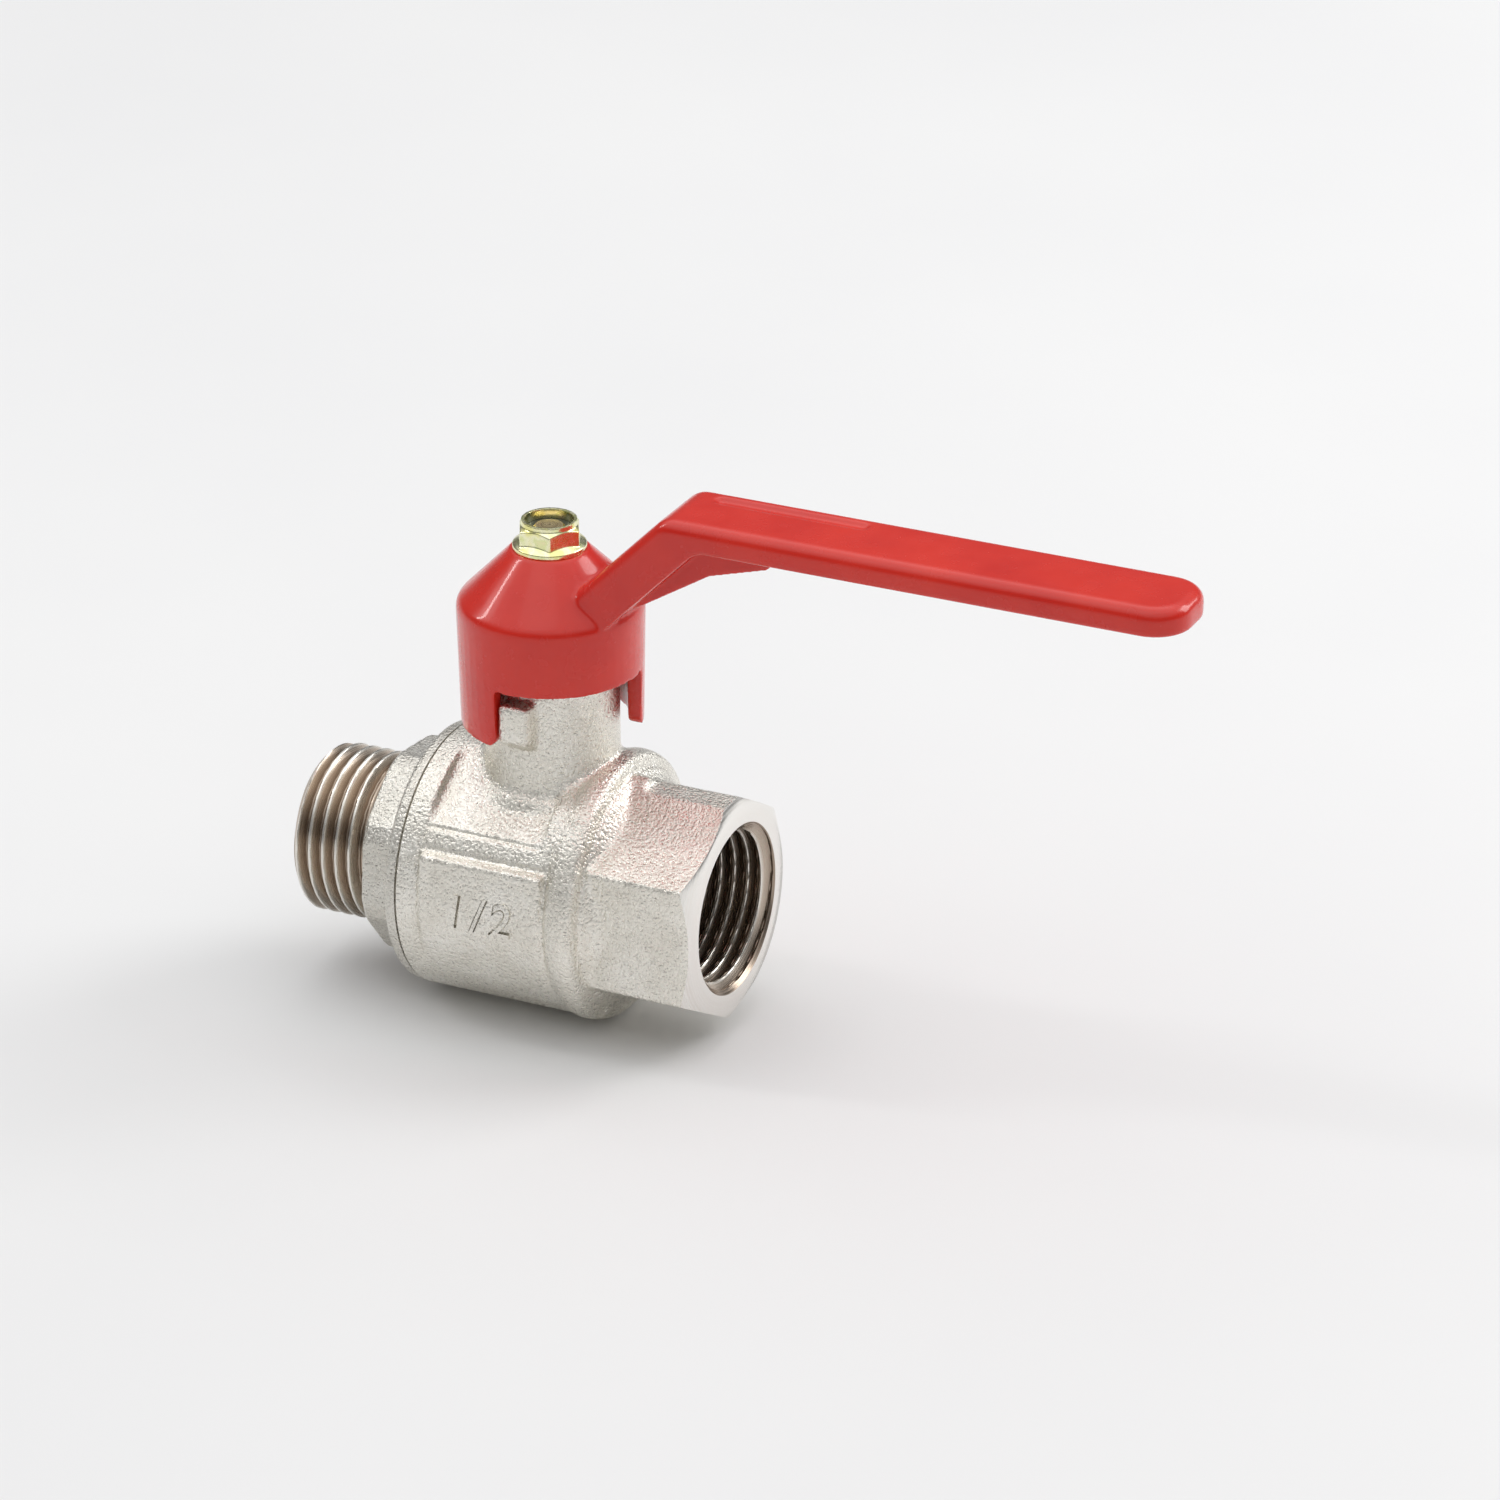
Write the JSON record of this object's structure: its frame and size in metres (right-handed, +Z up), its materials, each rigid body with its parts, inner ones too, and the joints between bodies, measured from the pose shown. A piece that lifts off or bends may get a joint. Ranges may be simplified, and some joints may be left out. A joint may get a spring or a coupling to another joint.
{
  "type": "ball valve",
  "caption": "Half-inch lever ball valve, male by female, with a forged nickel-plated body, a screwed end adapter, a chromed ball and a cranked red lever.",
  "frame": {"origin": "centre of the ball, where the pipe axis and the stem axis cross", "axes": "+X along the pipe axis towards the female end and along the open lever, +Z up the stem, Y across"},
  "size_m": [0.113, 0.0334, 0.0679],
  "materials": {
    "blasted_nickel": "bead-blasted nickel plate on brass",
    "machined_nickel": "turned nickel-plated brass",
    "plain_brass": "turned brass",
    "chrome_ball": "polished chrome plate",
    "red_paint": "glossy red stoved paint on die-cast metal",
    "yellow_zinc": "yellow-passivated zinc plate on steel",
    "dark_nylon": "dark nylon",
    "white_ptfe": "natural PTFE",
    "black_rubber": "black nitrile rubber"
  },
  "bodies": {
    "housing": {"valve_body": "blasted_nickel", "end_adapter": "machined_nickel", "joint_o_ring": "black_rubber", "seat_ring_inlet": "white_ptfe", "seat_ring_outlet": "white_ptfe", "thrust_washer": "white_ptfe", "packing_ring_lower": "white_ptfe", "packing_ring_upper": "white_ptfe", "gland_ring": "plain_brass", "packing_nut": "plain_brass"},
    "lever": {"lever_handle": "red_paint", "stem": "plain_brass", "stem_o_ring_lower": "black_rubber", "stem_o_ring_upper": "black_rubber", "lever_nut": "yellow_zinc", "lock_insert": "dark_nylon"},
    "ball": {"ball": "chrome_ball"}
  },
  "joints": [
    {"name": "lever_turn", "type": "hinge", "parent": "housing", "child": "lever", "pos_m": [0, 0, 0.03], "axis": [0, 0, 1], "range_deg": [-90, 0]},
    {"name": "ball_turn", "type": "hinge", "parent": "housing", "child": "ball", "pos_m": [0, 0, 0], "axis": [0, 0, 1], "range_deg": [-90, 0]}
  ],
  "couplings": [
    {"joint": "ball_turn", "follows": "lever_turn", "ratio": 1}
  ]
}
